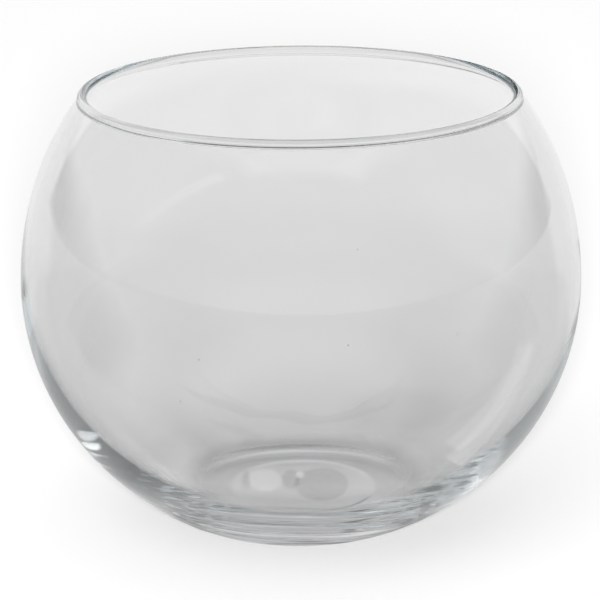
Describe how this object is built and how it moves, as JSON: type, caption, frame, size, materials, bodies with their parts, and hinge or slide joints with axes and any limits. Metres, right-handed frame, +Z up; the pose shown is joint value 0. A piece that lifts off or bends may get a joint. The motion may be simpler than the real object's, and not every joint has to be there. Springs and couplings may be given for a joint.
{
  "type": "rose bowl vase",
  "caption": "Clear glass rose bowl vase: a flattened globe with a wide beaded mouth, a thin wall that thickens to the heel and a shallow kick, for short-stemmed or floating flowers.",
  "frame": {"origin": "middle of the foot, on the surface that the bowl stands on", "axes": "+Z up along the bowl's axis; X and Y are level and alike, because the bowl is round"},
  "size_m": [0.152, 0.152, 0.118],
  "materials": {
    "clear_glass": "clear fire-polished glass with a faint grey-blue tint where it is thick"
  },
  "bodies": {
    "root": {"glass_bowl": "clear_glass"}
  },
  "joints": []
}
